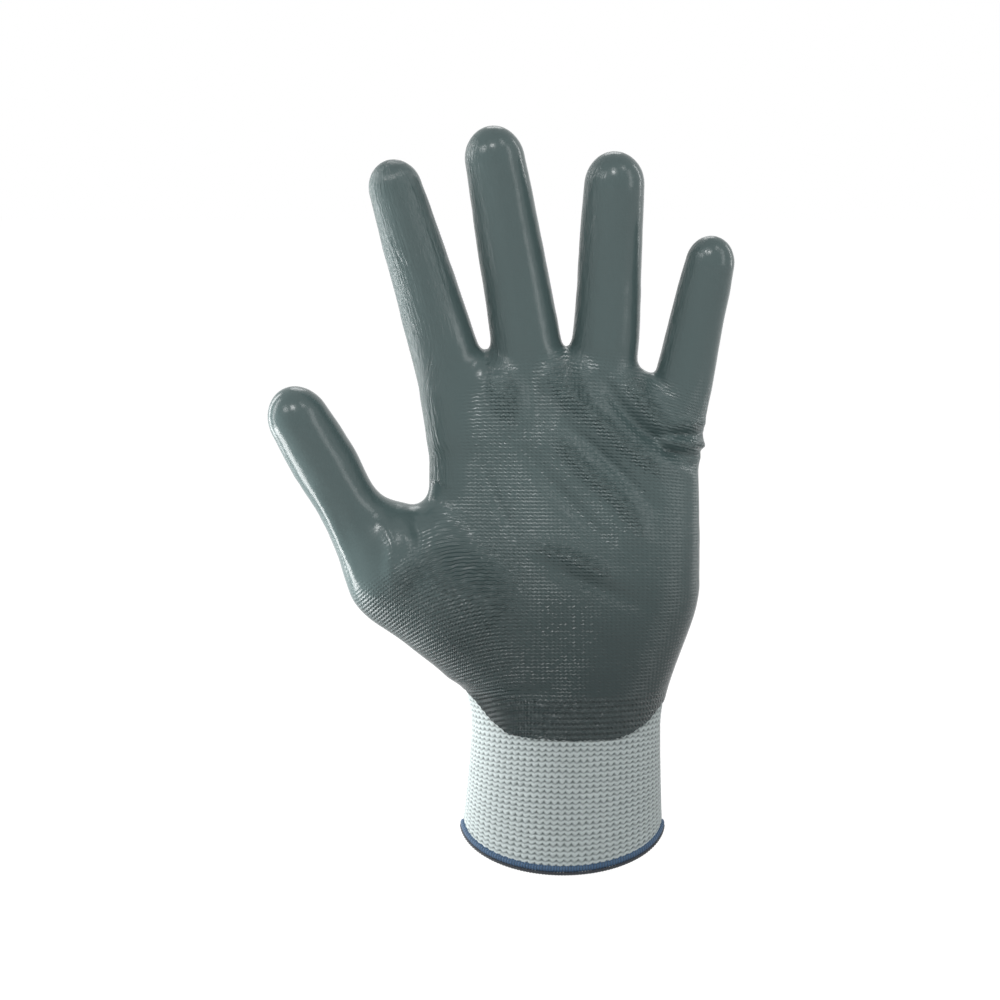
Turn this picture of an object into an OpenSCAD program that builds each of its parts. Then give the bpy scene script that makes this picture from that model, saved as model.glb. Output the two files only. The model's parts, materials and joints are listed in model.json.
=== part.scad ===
// A palm-dipped knitted work glove for the left hand, in the shape that a hand gives it.
// +Z runs from the hem to the fingertips, -Y is the palm's side and -X is the thumb's side.
// The origin is the middle of the wrist opening, level with the lowest point of the hem.

/* [Hand] */
// Height of the cuff, from the lowest point of the hem to the wrist line
cuff_h = 46; // [40:1:56]
// Height of the palm, from the wrist line to the highest crotch between the fingers
palm_h = 128; // [120:1:136]
// Width of the palm below the knuckles
palm_w = 91; // [88:1:96]
// Thickness of the palm below the knuckles
palm_t = 28; // [26:1:34]
// Width of the glove at the wrist line
wrist_w = 65; // [58:1:70]
// Thickness of the glove at the wrist line
wrist_t = 43; // [38:1:48]
// How far the wrist opening flares past the wrist line on each side
hem_flare = 2; // [0:0.1:4]
// How much lower the hem hangs at the front and back than at the sides
hem_dip = 11.5; // [0:0.5:14]

/* [Fingers] */
// Length of the index stall, from its root knuckle to its end
index_l = 62.5; // [58:0.5:70]
// Length of the middle stall
middle_l = 71.5; // [66:0.5:80]
// Length of the ring stall
ring_l = 62.5; // [58:0.5:70]
// Length of the little stall
little_l = 43.5; // [40:0.5:52]
// Length of the thumb stall
thumb_l = 52; // [46:1:58]
// Width of the index stall at its root
index_w = 22.6; // [20:0.2:24]
// Width of the middle stall at its root
middle_w = 23.2; // [20:0.2:24]
// Width of the ring stall at its root
ring_w = 22; // [20:0.2:24]
// Width of the little stall at its root
little_w = 19; // [17:0.2:21]
// Width of the thumb stall at its root
thumb_w = 24; // [22:0.2:27]
// How far the thumb's root lies below the crotches of the fingers
thumb_drop = 55.5; // [52:0.5:60]
// How far the thumb leans away from the fingers, in degrees
thumb_lean = 29.3; // [24:0.1:34]
// Thickness of a stall as a share of its width
stall_round = 0.9; // [0.8:0.01:1]

/* [Fabric] */
// Thickness of the knitted liner
liner_t = 1; // [0.7:0.05:1.3]
// Thickness of the nitrile film on the liner
film_t = 0.5; // [0.3:0.05:0.8]
// Diameter of an elastic yarn laid into the cuff
elastic_d = 0.8; // [0.5:0.05:1.2]
// Number of elastic yarns
elastic_n = 7; // [5:1:12]
// Height of the overlocked hem
hem_h = 4; // [3:0.25:6]
// Thickness of the overlock thread over the liner
thread_t = 0.8; // [0.5:0.05:1]
// Diameter of the lower looper thread along the edge
looper_d = 1; // [0.6:0.05:1.4]

/* [Movement] */
// Furthest that a root knuckle flexes
root_flex = 60; // [40:1:64]
// Furthest that a middle knuckle flexes
middle_flex = 70; // [40:1:74]
// Furthest that a tip knuckle flexes
tip_flex = 40; // [30:1:50]
// Furthest that the root of the thumb flexes
thumb_root_flex = 28; // [20:1:45]
// Furthest that the tip knuckle of the thumb flexes
thumb_tip_flex = 36; // [30:1:60]

/* [Hidden] */
DIGITS = ["index", "middle", "ring", "little", "thumb"];
THUMB = 4;
STALLS = [for (d = [0:4]) for (k = d == THUMB ? [0, 2] : [0, 1, 2]) str(DIGITS[d], ["_base", "_middle", "_tip"][k])];
FOLDS = [for (d = [0:4]) for (k = d == THUMB ? [0, 2] : [0, 1, 2]) str(DIGITS[d], ["_root", "_middle", "_tip"][k], "_fold")];

LINER_COLOR = "gainsboro";
FILM_COLOR = "slategray";
ELASTIC_COLOR = "whitesmoke";
THREAD_COLOR = "steelblue";
LOOPER_COLOR = "midnightblue";

hand_n = 40;        // corners of a ring round the hand
stall_n = 20;       // corners of a ring round a stall
layer_gap = 0.05;   // clearance between two layers, such as the film and the liner
film_reach = 7;     // corners that the film reaches to each side of a stall's palm side
fold_gap = 0.4;     // fabric left to a fold behind a knuckle, on each side
crotch_h = cuff_h + palm_h;
heel_t = 39;        // thickness of the palm at its heel
heel_at = 0.3;      // where the heel is thickest, as a share of palm_h
knuckle_at = 0.76;  // where the palm begins to thin towards the crotches
crotch_t = 19;      // thickness of the palm's rounded top edge
top_r = 8;          // how far below the crotches that edge begins to round
wrist_x = 1.2;      // how far the middle of the wrist line stands towards the little finger
EPS = 0.01;

// ---- Digits: one row each of [root x, root z, splay, pitches, knuckle shares, length, root width, tip share, roll] ----
// The splay leans a digit towards -X. Pitches lean its three parts towards the palm at rest.
// Knuckle shares place the middle and tip knuckles along the length. The thumb has no middle knuckle.
finger_pitch = [4, 9, 12];
thumb_pitch = [10, 10, 14];
half_palm = palm_w / 2;
TABLE = [
    [-0.905 * half_palm, crotch_h + 5, 16.3, finger_pitch, [0.3, 0.64], index_l, index_w, 0.79, 0],
    [-0.285 * half_palm, crotch_h + 6, 9.6, finger_pitch, [0.3, 0.64], middle_l, middle_w, 0.86, 0],
    [0.315 * half_palm, crotch_h + 5.5, -2.6, finger_pitch, [0.3, 0.64], ring_l, ring_w, 0.9, 0],
    [0.92 * half_palm, crotch_h - 3, -11.6, finger_pitch, [0.3, 0.62], little_l, little_w, 0.86, 0],
    [-1.51 * half_palm, crotch_h - thumb_drop, thumb_lean, thumb_pitch, [0, 0.46], thumb_l, thumb_w, 0.88, 35]
];
function root_y(d) = d == THUMB ? -9 : -1;
function flex(d, k) = d == THUMB ? (k == 0 ? thumb_root_flex : thumb_tip_flex)
    : [root_flex, middle_flex, tip_flex][k];

// ---- Small maths ----
function ease(x) = let(c = min(1, max(0, x))) c * c * (3 - 2 * c);
function mix(a, b, t) = a + (b - a) * t;
function unit(v) = v / norm(v);
function power(c, e) = sign(c) * pow(abs(c), e);

// Directions [along, across, back] of part k of digit d. across is the line that its knuckles turn about.
function dirs(d, k) = let(
    row = TABLE[d], t = row[2], p = row[3][k], r = row[8],
    along = [-sin(t) * cos(p), -sin(p), cos(t) * cos(p)],
    u = [cos(t), 0, sin(t)],
    n = cross(along, u)
) [along, u * cos(r) + n * sin(r), n * cos(r) - u * sin(r)];

// Knuckle k of digit d: 0 is the root, 1 the middle one and 2 the tip one. Joint 3 is the end of the stall.
function knuckle(d, k) = let(row = TABLE[d], share = concat([0], row[4], [1])) k == 0
    ? [row[0], root_y(d), row[1]]
    : knuckle(d, k - 1) + dirs(d, k - 1)[0] * row[5] * (share[k] - share[k - 1]);

// Directions [up, turn, back] of a knuckle, halfway between the two parts it joins. A finger's root turns about X.
function knuckle_dirs(d, k) = k == 0 && d != THUMB
    ? [[0, 0, 1], [1, 0, 0], [0, 1, 0]]
    : let(
        before = dirs(d, k == 0 || d == THUMB ? 0 : k - 1), after = dirs(d, k),
        turn = unit(before[1] + after[1]),
        lean = unit(before[0] + after[0]),
        up = unit(lean - turn * (lean * turn))
    ) [up, turn, cross(up, turn)];

// Half width of digit d at a share of its length, less an inset
function half_w(d, share, inset) = TABLE[d][6] / 2 * mix(1, TABLE[d][7], pow(max(0, share), 0.8)) - inset;

// ---- Rings round a stall ----
// A ring at a distance along part k, square to it. far is a share of the stall's length, for the width.
function oval(d, k, at, share, inset) = let(
    f = dirs(d, k), w = half_w(d, share, inset), t = half_w(d, share, 0) * stall_round - inset
) [for (j = [0:stall_n - 1]) let(a = 360 * j / stall_n - 90) at + f[1] * w * cos(a) + f[2] * t * sin(a)];

// A point slid along a direction until it lies on one side of a knuckle. side is -1 below it and 1 above it.
// Behind the knuckle the parts nearly meet. On the palm side they stand back by half the flex, so that they can turn.
function slid(p, along, d, k, side) = let(
    f = knuckle_dirs(d, k), q = p - knuckle(d, k), slope = tan(flex(d, k) / 2),
    flat = (side * fold_gap - q * f[0]) / (along * f[0]),
    back = (q + along * flat) * f[2]
) back >= 0 ? p + along * flat
    : p + along * ((side * fold_gap - q * f[0] - side * slope * (q * f[2]))
        / (along * f[0] + side * slope * (along * f[2])));

// The ring of part k that ends on one side of knuckle j
function knuckle_ring(d, k, j, side, inset) = let(share = concat([0], TABLE[d][4])[j]) [
    for (p = oval(d, k, knuckle(d, j), share, inset)) slid(p, dirs(d, k)[0], d, j, side)
];
function knuckle_pole(d, j, side) = knuckle(d, j) + knuckle_dirs(d, j)[0] * side * fold_gap;

// Rings of the rounded end of a stall, from its first square ring to the last one before the pole
dome_n = 5;
dome_long = 1.18;   // length of the rounded end as a share of its half width
function dome_rings(d, inset) = let(
    f = dirs(d, 2), end = knuckle(d, 3), r = half_w(d, 1, 0), w = r - inset, t = r * stall_round - inset,
    long = r * dome_long
) [for (i = [0:dome_n - 1]) let(lift = 84 * i / (dome_n - 1), at = end - f[0] * (long - (long - inset) * sin(lift)))
    [for (j = [0:stall_n - 1]) let(a = 360 * j / stall_n - 90)
        at + (f[1] * w * cos(a) + f[2] * t * sin(a)) * cos(lift)]];
function dome_pole(d, inset) = knuckle(d, 3) - dirs(d, 2)[0] * inset;

// ---- Rings round the hand ----
// t runs from 0 at the wrist line to 1 at the crotches. Below the wrist line, z is measured from the hem.
function hand_half_w(z) = z < cuff_h
    ? wrist_w / 2 + hem_flare * pow(1 - z / cuff_h, 1.2)
    : mix(wrist_w, palm_w, ease((z - cuff_h) / palm_h / 0.42)) / 2;
function hand_half_t(z) = let(t = (z - cuff_h) / palm_h) z < cuff_h
    ? wrist_t / 2 + hem_flare * pow(1 - z / cuff_h, 2)
    : (t < heel_at ? mix(wrist_t, heel_t, ease(t / heel_at))
        : t < knuckle_at ? mix(heel_t, palm_t, ease((t - heel_at) / (knuckle_at - heel_at)))
        : mix(palm_t, crotch_t, ease((t - knuckle_at) / (1 - knuckle_at) / 1.3))) / 2;
function squareness(z) = mix(1, 0.84, ease((z - cuff_h) / palm_h * 2));
function hand_x(z) = wrist_x * (z < cuff_h ? z / cuff_h : ease((crotch_h - z) / palm_h));
function side_rise(z, a) = z < cuff_h ? hem_dip * (1 - abs(sin(a))) * pow(1 - z / cuff_h, 1.5) : 0;
// The palm's top edge arches down from near the middle finger towards both sides.
arch_x = -8;        // where the palm's top edge is highest
arch_drop = 24;     // how much lower the palm's top edge is at its sides
function arch(x, z) = let(t = max(0, (z - cuff_h) / palm_h), far = half_palm - arch_x)
    -arch_drop * pow(min(1, abs(x - arch_x) / far), 3) * t * t;
function hand_ring(z, inset) = let(e = squareness(z), w = hand_half_w(z), t = hand_half_t(z) - inset)
    [for (j = [0:hand_n - 1]) let(a = 360 * j / hand_n - 90, c = power(cos(a), e))
        [hand_x(z) + (w - inset) * c, t * power(sin(a), e), z + side_rise(z, a) + arch(w * c, z)]];

// ---- The ball of the thumb, from inside the palm to the thumb's root ----
// Rows of [x and z from the thumb's root, y, lean, roll, half width, half thickness]
THENAR = [[53, -50, -3, 50, 0, 17.5, 14.5], [30, -29, -7, 47, 8, 19.2, 16.5],
    [12.8, -11.3, -8, 35.4, 16, 22, 14.5], [10.9, -4.6, -8.7, 29, 26, 20.5, 11.9]];
function thenar_ring(i, inset) = let(
    r = THENAR[i], c = [TABLE[THUMB][0] + r[0], r[2], TABLE[THUMB][1] + r[1]], u = [cos(r[3]), 0, sin(r[3])],
    v = [0, 1, 0], across = u * cos(r[4]) + v * sin(r[4]), back = v * cos(r[4]) - u * sin(r[4])
) [for (j = [0:stall_n - 1]) let(a = 360 * j / stall_n - 90)
    c + across * (r[5] - inset) * cos(a) + back * (r[6] - inset) * sin(a)];

// ---- Solids from rings ----
// Each four-sided face is split along its shorter diagonal, so layers that lie on each other split alike.
function flat_list(rings) = [for (r = rings) each r];
function wall(p, i, k, n) = [for (j = [0:n - 1]) let(a = i * n + j, b = i * n + (j + 1) % n,
    c = k * n + (j + 1) % n, e = k * n + j)
    each norm(p[a] - p[c]) < norm(p[b] - p[e]) ? [[a, c, b], [a, e, c]] : [[a, e, b], [e, c, b]]];

// A solid between rings, closed by a fan to a pole at each end
module loft(rings, first_pole, last_pole) {
    n = len(rings[0]);
    m = len(rings);
    points = flat_list(rings);
    polyhedron(
        points = concat(points, [first_pole, last_pole]),
        faces = concat(
            [for (i = [0:m - 2]) each wall(points, i, i + 1, n)],
            [for (j = [0:n - 1]) [m * n, j, (j + 1) % n]],
            [for (j = [0:n - 1]) [m * n + 1, (m - 1) * n + (j + 1) % n, (m - 1) * n + j]]
        )
    );
}

// A hoop whose section runs through rings and back to the first one
module hoop(rings) {
    n = len(rings[0]);
    m = len(rings);
    points = flat_list(rings);
    polyhedron(points = points, faces = [for (i = [0:m - 1]) each wall(points, i, (i + 1) % m, n)]);
}

// A strip of a tube wall, from corner first to corner last, between outer and inner rings
module strip(outer, inner, first, last) {
    n = len(outer[0]);
    sections = [for (j = [first:last]) let(c = (j + n) % n)
        concat([for (r = outer) r[c]], [for (i = [len(inner) - 1:-1:0]) inner[i][c]])];
    loft(sections, middle(sections[0]), middle(sections[len(sections) - 1]));
}
function middle(ring) = [for (r = ring) 1] * ring / len(ring);

// ---- Stalls ----
// Rings of part k of a stall, between its knuckles or, at the tip, up to the dome
function stall_rings(d, k, inset) = let(base = knuckle_ring(d, k, k, 1, inset)) k == 2
    ? concat([base], dome_rings(d, inset))
    : [base, knuckle_ring(d, k, d == THUMB ? 2 : k + 1, -1, inset)];

module stall_wall(d, k, outset, inset) {
    if (k == 2) {
        inner = stall_rings(d, k, inset);
        loft(concat([for (i = [len(inner) - 1:-1:0]) inner[i]], stall_rings(d, k, outset)),
            dome_pole(d, inset), dome_pole(d, outset));
    } else {
        inner = stall_rings(d, k, inset);
        hoop(concat([for (i = [len(inner) - 1:-1:0]) inner[i]], stall_rings(d, k, outset)));
    }
}

module stall_liner(d, k) {
    color(LINER_COLOR) stall_wall(d, k, film_t, film_t + liner_t);
}

// The film covers a tip all round, and the other parts on the palm side and the flanks.
module stall_film(d, k) {
    color(FILM_COLOR) {
        if (k == 2) stall_wall(d, k, 0, film_t - layer_gap);
        else strip(stall_rings(d, k, 0), stall_rings(d, k, film_t - layer_gap), -film_reach, film_reach);
    }
}

// The fabric that folds at knuckle k, between the parts on each side of it
module fold(d, k) {
    before = d == THUMB ? 0 : max(0, k - 1);
    share = concat([0], TABLE[d][4])[k];
    function rings(inset) = [knuckle_ring(d, before, k, -1, inset), knuckle_ring(d, k, k, 1, inset)];
    outer = rings(0);
    inner = rings(film_t + liner_t);
    color(FILM_COLOR) hoop([inner[1], inner[0], outer[0], outer[1]]);
}

// ---- Palm ----
palm_steps = 9;
top_steps = 3;
hollow_over = 0.1; // how far a hollow runs out past the ends of what it is cut from

// The root of a stall, from a place inside the palm up to its root knuckle
root_depth = 30.5;  // how far below the root knuckle its inner end stands
root_spread = 0.73; // how far from the middle of the palm the inner ends stand, as a share of the root's x
ROOT_SHIFT = [-3.4, 0, 0, 5]; // how much further along X each inner end stands
root_swell = 0.7;   // how much wider the inner end is than the stall, on each side
module root_of(d, inset, over) {
    w = half_w(d, 0, inset) + root_swell;
    base = [knuckle(d, 0)[0] * root_spread + ROOT_SHIFT[d], 0, knuckle(d, 0)[2] - root_depth];
    low = [for (j = [0:stall_n - 1]) let(a = 360 * j / stall_n - 90) base + [w * cos(a), w * stall_round * sin(a), 0]];
    hull() loft([low, run_on(low, knuckle_ring(d, 0, 0, -1, inset), over)], base, knuckle_pole(d, 0, -1));
}
// A stall's last ring, moved on by over along the lines that lead to it from the ring below
function run_on(low, top, over) = [for (j = [0:stall_n - 1]) top[j] + unit(top[j] - low[j]) * over];

// Rings of the palm's rounded top edge
function top_ring(i, inset) = let(lift = 80 * i / top_steps, r = top_r - inset)
    hand_ring(crotch_h - top_r + r * sin(lift), inset + r * (1 - cos(lift)));

// The whole body of the hand at an inset. over lets a hollow run out through the wrist and the root knuckles.
module hand_body(inset, over) {
    top = crotch_h - top_r;
    rings = concat([for (i = [0:palm_steps - 1]) hand_ring(mix(cuff_h, top, i / palm_steps), inset)],
        [for (i = [0:top_steps]) top_ring(i, inset)]);
    low = [for (p = rings[0]) p - [0, 0, over]];
    all = over > 0 ? concat([low], rings) : rings;
    loft(all, middle(all[0]), [arch_x, 0, crotch_h - inset]);
    for (d = [0:3]) root_of(d, inset, over);
    thenar = [for (i = [0:len(THENAR) - 1]) thenar_ring(i, inset)];
    thumb_end = run_on(thenar[len(thenar) - 1], knuckle_ring(THUMB, 0, 0, -1, inset), over);
    loft(concat(thenar, [thumb_end]), middle(thenar[0]), knuckle_pole(THUMB, 0, -1) + dirs(THUMB, 0)[0] * over);
}

module palm_liner() {
    color(LINER_COLOR) difference() {
        hand_body(film_t, 0);
        hand_body(film_t + liner_t, hollow_over);
    }
}

// The palm's film: a skin over the liner, from the dip line at the wrist round to the flanks
flank_y = 7;        // how far the film wraps behind the middle of the glove
dip_rise = 9;       // how far the dip line rises from the front to the flanks
module dip_zone() {
    far = crotch_h * 2;
    rotate([90, 0, 90]) linear_extrude(far, center = true) polygon([
        [-far, cuff_h], [-hand_half_t(cuff_h) * 0.9, cuff_h], [0, cuff_h + dip_rise],
        [flank_y, cuff_h + 2 * dip_rise], [flank_y, far], [-far, far]
    ]);
}
module palm_film() {
    color(FILM_COLOR) intersection() {
        difference() {
            hand_body(0, 0);
            hand_body(film_t - layer_gap, hollow_over);
        }
        dip_zone();
    }
}

// ---- Cuff ----
cuff_rows = 6;
edge_z = thread_t;  // the liner's cut edge sits on the thread that wraps it
function cuff_z(i) = mix(edge_z, cuff_h, i / cuff_rows);

module cuff_knit() {
    color(LINER_COLOR) hoop(concat(
        [for (i = [cuff_rows:-1:0]) hand_ring(cuff_z(i), film_t + liner_t)],
        [for (i = [0:cuff_rows]) hand_ring(cuff_z(i), film_t)]
    ));
}

// Elastic yarns, each a hoop that lies against the inside of the cuff
module cuff_elastic() {
    r = elastic_d / 2;
    seat = film_t + liner_t;
    low = edge_z + hem_h + elastic_d;
    high = cuff_h - elastic_d;
    color(ELASTIC_COLOR) for (i = [0:elastic_n - 1]) {
        z = mix(low, high, i / (elastic_n - 1));
        hoop([for (a = [0:90:270]) hand_ring(z + r * sin(a), seat + r + r * cos(a) + EPS)]);
    }
}

// The overlock: thread that wraps the cut edge outside, below and inside
module hem_overlock() {
    out = film_t - thread_t;
    in = film_t + liner_t + thread_t;
    leg_out = film_t - layer_gap;
    leg_in = film_t + liner_t + layer_gap;
    seam_z = edge_z - layer_gap;
    color(THREAD_COLOR) hoop([
        hand_ring(seam_z, leg_in), hand_ring(hem_h, leg_in),
        hand_ring(hem_h - thread_t / 2, in), hand_ring(edge_z, in), hand_ring(0, in - thread_t),
        hand_ring(0, out + thread_t), hand_ring(edge_z, out), hand_ring(hem_h - thread_t / 2, out),
        hand_ring(hem_h, leg_out), hand_ring(seam_z, leg_out)
    ]);
}

// The lower looper thread: a hoop inside the edge, below the overlock's inner leg
module hem_looper() {
    r = looper_d / 2;
    seat = film_t + liner_t + thread_t + r + EPS;
    color(LOOPER_COLOR) hoop([for (a = [0:60:300]) hand_ring(edge_z + r + r * sin(a), seat + r * cos(a))]);
}

palm_liner();
palm_film();
cuff_knit();
cuff_elastic();
hem_overlock();
hem_looper();
for (d = [0:4]) for (k = d == THUMB ? [0, 2] : [0, 1, 2]) {
    stall = str(DIGITS[d], ["_base", "_middle", "_tip"][k]);
    crease = str(DIGITS[d], ["_root", "_middle", "_tip"][k], "_fold");
    stall_liner(d, k);
    stall_film(d, k);
    fold(d, k);
}
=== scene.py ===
import json
import math

import bpy
import numpy as np
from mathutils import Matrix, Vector


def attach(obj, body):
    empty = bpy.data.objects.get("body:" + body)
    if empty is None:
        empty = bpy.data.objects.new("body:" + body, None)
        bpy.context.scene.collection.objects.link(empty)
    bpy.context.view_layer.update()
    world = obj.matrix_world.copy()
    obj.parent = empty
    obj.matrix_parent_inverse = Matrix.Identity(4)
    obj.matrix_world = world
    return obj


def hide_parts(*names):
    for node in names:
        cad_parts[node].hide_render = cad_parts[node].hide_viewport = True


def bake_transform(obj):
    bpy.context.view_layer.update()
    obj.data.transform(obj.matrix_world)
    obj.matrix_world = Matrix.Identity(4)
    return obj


# A left-hand work glove: a white seamless knit, dipped in grey nitrile on the palm's side,
# with a stockinette cuff and an overlocked hem. Shapes are worked out in millimetres and
# turned to metres where a mesh is made. -Y is the palm's side, -X the thumb's and +Z the fingertips'.

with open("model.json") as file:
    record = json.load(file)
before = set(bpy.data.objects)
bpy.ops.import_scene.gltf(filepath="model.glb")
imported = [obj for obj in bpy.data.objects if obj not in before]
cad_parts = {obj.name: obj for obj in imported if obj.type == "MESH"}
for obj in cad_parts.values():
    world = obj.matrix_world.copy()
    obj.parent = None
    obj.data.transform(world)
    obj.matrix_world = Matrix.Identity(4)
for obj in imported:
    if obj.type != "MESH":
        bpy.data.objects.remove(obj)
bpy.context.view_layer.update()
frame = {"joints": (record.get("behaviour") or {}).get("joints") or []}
joints = {j["name"]: j for j in frame["joints"]}
metre = 0.001

# Small maths


def ease(x):
    c = np.clip(x, 0, 1)
    return c * c * (3 - 2 * c)


def mix(a, b, t):
    return a + (b - a) * t


def unit(v):
    return v / np.maximum(np.linalg.norm(v, axis=-1, keepdims=True), 1e-9)


def smoothMin(a, b, k):
    # the lesser of two distances, rounded where they are within k of each other
    h = np.maximum(k - np.abs(a - b), 0) / k
    return np.minimum(a, b) - h * h * k / 4


def bump(x):
    return np.exp(-x * x)


def waves(x, y, seed, count=5, fine=1.0):
    # a smooth uneven value from -1 to 1: a sum of sines with fixed directions and phases
    r = np.random.default_rng(seed)
    total = np.zeros_like(x)
    for _ in range(count):
        kx, ky, phase = r.normal(0, fine), r.normal(0, fine), r.uniform(0, 6.28)
        total += np.sin(kx * x + ky * y + phase)
    return total / count


# Shape of the hand

hand = {
    "cuffHeight": 46,
    "palmHeight": 128,
    "wristWidth": 65,
    "palmWidth": 91,
    "wristDepth": 43,
    "heelDepth": 39,
    "palmDepth": 28,
    "crotchDepth": 19,
    "hemFlare": 2,
    "hemDip": 11.5,
    "wristX": 1.2,
    "archX": -8,  # the palm's top edge is highest here
    "archDrop": 24,  # and this much lower at its sides
    "archReach": 53.5,
    "topRound": 8,
    # shares of the palm's height: where it gets to its full width, and where its depth changes pace
    "wideAt": 0.42,
    "heelAt": 0.3,
    "ballAt": 0.76,
    "topOver": 1.3,
    "palmSquare": 0.84,  # the power of the palm's oval section; the wrist's is 1
}

# base is where a stall starts and end is its tip from the last knuckle; half lists its half widths.
# cuts are the distances past the root knuckle where its stretches part, and bends where each one's
# turn begins and ends. The knuckles' own places come from the joints.
digits = {
    "index": {
        "base": (-33.0, 0, 149), "end": (-6.2, -4.7, 21.1), "half": (11.9, 11.3, 10.4, 9.65, 8.95),
        "cuts": (-9, 9.6, 28.2), "bends": ((-9, 9.6), (9.8, 28), (32, 46)),
    },
    "middle": {
        "base": (-9.3, 0, 150), "end": (-4.2, -5.35, 24.8), "half": (12.2, 11.6, 11.0, 10.45, 10.0),
        "cuts": (-5.8, 12, 31.5), "bends": ((-5.8, 12), (12.2, 31), (38, 53)),
    },
    "ring": {
        "base": (10.3, 0, 149.5), "end": (1.0, -4.7, 22.0), "half": (11.6, 11.0, 10.6, 10.2, 9.9),
        "cuts": (-4.2, 9.7, 28.2), "bends": ((-4.2, 9.7), (9.9, 28), (33, 47)),
    },
    "little": {
        "base": (35.1, 0, 141), "end": (3.25, -3.4, 15.8), "half": (10.1, 9.5, 9.0, 8.6, 8.2),
        "cuts": (-5.8, 6.1, 20.2), "bends": ((-5.8, 6.1), (6.3, 20), (22, 33)),
    },
    "thumb": {
        "end": (-13.3, -6.8, 23.8), "half": (12.0, 11.3, 10.6),
        "cuts": (-3.5, 12.5), "bends": ((-3.5, 12.3), (15, 33)), "course": 128, "wale": -42,
        "fade": 9, "fadeFrom": 65, "fadeOver": 10,  # how far the ball draws in towards the cuff
        # the ball of the thumb: x, y, z, lean, roll, half width, half depth
        "ball": ((-15.7, -3, 68.5, 50, 0, 17.5, 14.5), (-38.7, -7, 89.5, 47, 8, 19.2, 16.5),
                 (-56.6, -8, 106.0, 36, 16, 20.5, 14.5)),
    },
}
order = ["index", "middle", "ring", "little", "thumb"]
for name in order:
    isThumb = name == "thumb"
    digits[name]["knuckles"] = ("root", "tip") if isThumb else ("root", "middle", "tip")
    digits[name]["stretches"] = ("base", "tip") if isThumb else ("base", "middle", "tip")
stallRound = 0.9  # a stall's depth as a share of its width
domeLong = 1.18  # the length of its rounded end as a share of its half width
stallReach = 26  # how far round its path a digit is worked out


def halfWidth(z):
    c = hand["cuffHeight"]
    low = hand["wristWidth"] / 2 + hand["hemFlare"] * np.maximum(1 - z / c, 0) ** 1.2
    high = mix(hand["wristWidth"], hand["palmWidth"], ease((z - c) / hand["palmHeight"] / hand["wideAt"])) / 2
    return np.where(z < c, low, high)


def halfDepth(z):
    c = hand["cuffHeight"]
    t = (z - c) / hand["palmHeight"]
    low = hand["wristDepth"] / 2 + hand["hemFlare"] * np.maximum(1 - z / c, 0) ** 2
    t0, t1 = hand["heelAt"], hand["ballAt"]
    heel = mix(hand["wristDepth"], hand["heelDepth"], ease(t / t0))
    middle = mix(hand["heelDepth"], hand["palmDepth"], ease((t - t0) / (t1 - t0)))
    top = mix(hand["palmDepth"], hand["crotchDepth"], ease((t - t1) / (1 - t1) / hand["topOver"]))
    return np.where(z < c, low, np.where(t < t0, heel, np.where(t < t1, middle, top)) / 2)


def squareness(z):
    return mix(1, hand["palmSquare"], ease((z - hand["cuffHeight"]) / hand["palmHeight"] * 2))


def handX(z):
    c = hand["cuffHeight"]
    return hand["wristX"] * np.where(z < c, z / c, ease((c + hand["palmHeight"] - z) / hand["palmHeight"]))


def palmLevel(x, z):
    # undoes the arch of the palm's top edge: the height that a point had before it was bent down
    drop = hand["archDrop"] * np.minimum(1, np.abs(x - hand["archX"]) / hand["archReach"]) ** 3
    level = z.copy()
    for _ in range(5):
        t = np.clip((level - hand["cuffHeight"]) / hand["palmHeight"], 0, 1.1)
        level = z + drop * t * t
    return level


def palmField(p):
    # distance from the palm: a squared-off oval at each height, closed by a rounded top edge
    x, y, z = p.T
    level = palmLevel(x, z)
    w, d, e = halfWidth(level), halfDepth(level), squareness(level)
    a, b = np.abs(x - handX(level)) / w + 1e-6, np.abs(y) / d + 1e-6
    total = a ** (2 / e) + b ** (2 / e)
    slope = total ** (e / 2 - 1) * np.hypot(a ** (2 / e - 1) / w, b ** (2 / e - 1) / d)
    side = (total ** (e / 2) - 1) / np.maximum(slope, 1 / w)
    r = hand["topRound"]
    s, t = side + r, level - (hand["cuffHeight"] + hand["palmHeight"]) + r
    return np.minimum(np.maximum(s, t), 0) + np.hypot(np.maximum(s, 0), np.maximum(t, 0)) - r


def spline(rows, count):
    # a smooth curve through rows, by cubic pieces, at even steps of the distance between them
    rows = np.array(rows, float)
    t = np.concatenate([[0], np.cumsum(np.linalg.norm(np.diff(rows[:, :3], axis=0), axis=1))])
    slope = np.gradient(rows, t, axis=0)
    u = np.linspace(0, t[-1], count)
    i = np.clip(np.searchsorted(t, u, side="right") - 1, 0, len(t) - 2)
    h = (t[i + 1] - t[i])[:, None]
    f = ((u - t[i]) / (t[i + 1] - t[i]))[:, None]
    a, b = rows[i], rows[i + 1]
    return (a * (1 + 2 * f) * (1 - f) ** 2 + slope[i] * h * f * (1 - f) ** 2
            + b * f * f * (3 - 2 * f) + slope[i + 1] * h * f * f * (f - 1)), t


def place(name):
    return np.array(joints[name]["pos_m"]) / metre


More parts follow.
